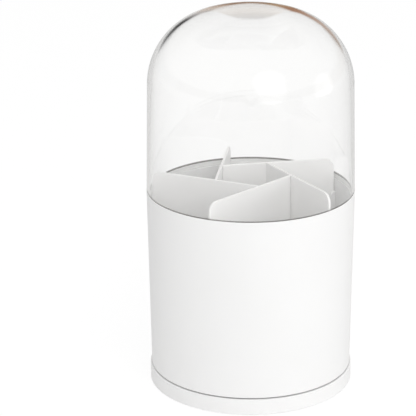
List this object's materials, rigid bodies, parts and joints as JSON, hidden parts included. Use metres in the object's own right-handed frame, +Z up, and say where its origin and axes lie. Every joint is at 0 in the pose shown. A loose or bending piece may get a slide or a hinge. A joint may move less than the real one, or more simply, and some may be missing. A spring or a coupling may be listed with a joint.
{
  "type": "makeup organizer",
  "caption": "Round turning cup with windmill dividers on a ball-bearing base, under a clear dust-proof dome that lifts off.",
  "frame": {"origin": "centre of the surface that the soft pads rest on, on the turning axis", "axes": "+Z up along the turning axis, -Y towards the viewer of the front, +X to the viewer's right"},
  "size_m": [0.135, 0.135, 0.2513],
  "materials": {
    "clear_dome": "clear polished plastic",
    "white_cup": "satin moulded plastic",
    "white_divider": "satin moulded plastic",
    "white_base": "satin moulded plastic",
    "ivory_race": "waxy moulded plastic",
    "ball_steel": "polished steel",
    "screw_steel": "zinc plated",
    "amber_bush": "natural nylon",
    "ivory_plug": "satin moulded plastic",
    "grey_pad": "matt silicone"
  },
  "bodies": {
    "base": {"turntable_base": "white_base", "pivot_bush": "amber_bush", "screw_cap_plug": "ivory_plug", "foot_pad_1": "grey_pad", "foot_pad_2": "grey_pad", "foot_pad_3": "grey_pad", "foot_pad_4": "grey_pad"},
    "cup": {"cup_shell": "white_cup", "divider_vane_1": "white_divider", "divider_vane_2": "white_divider", "divider_vane_3": "white_divider", "divider_vane_4": "white_divider", "divider_vane_5": "white_divider", "upper_race_plate": "ivory_race", "race_plate_screws": "screw_steel", "pivot_washer": "screw_steel", "pivot_screw": "screw_steel"},
    "ball_ring": {"ball_cage": "ivory_race", "bearing_balls": "ball_steel"},
    "dome": {"dome_cover": "clear_dome"}
  },
  "joints": [
    {"name": "cup_spin", "type": "hinge", "parent": "base", "child": "cup", "pos_m": [0, 0, 0.006], "axis": [0, 0, 1], "continuous": true},
    {"name": "ball_ring_spin", "type": "hinge", "parent": "base", "child": "ball_ring", "pos_m": [0, 0, 0.0067], "axis": [0, 0, 1], "continuous": true},
    {"name": "dome_lift", "type": "slide", "parent": "cup", "child": "dome", "axis": [0, 0, 1], "range_m": [0, 0.15]}
  ],
  "couplings": [
    {"joint": "ball_ring_spin", "follows": "cup_spin", "ratio": 0.5}
  ]
}
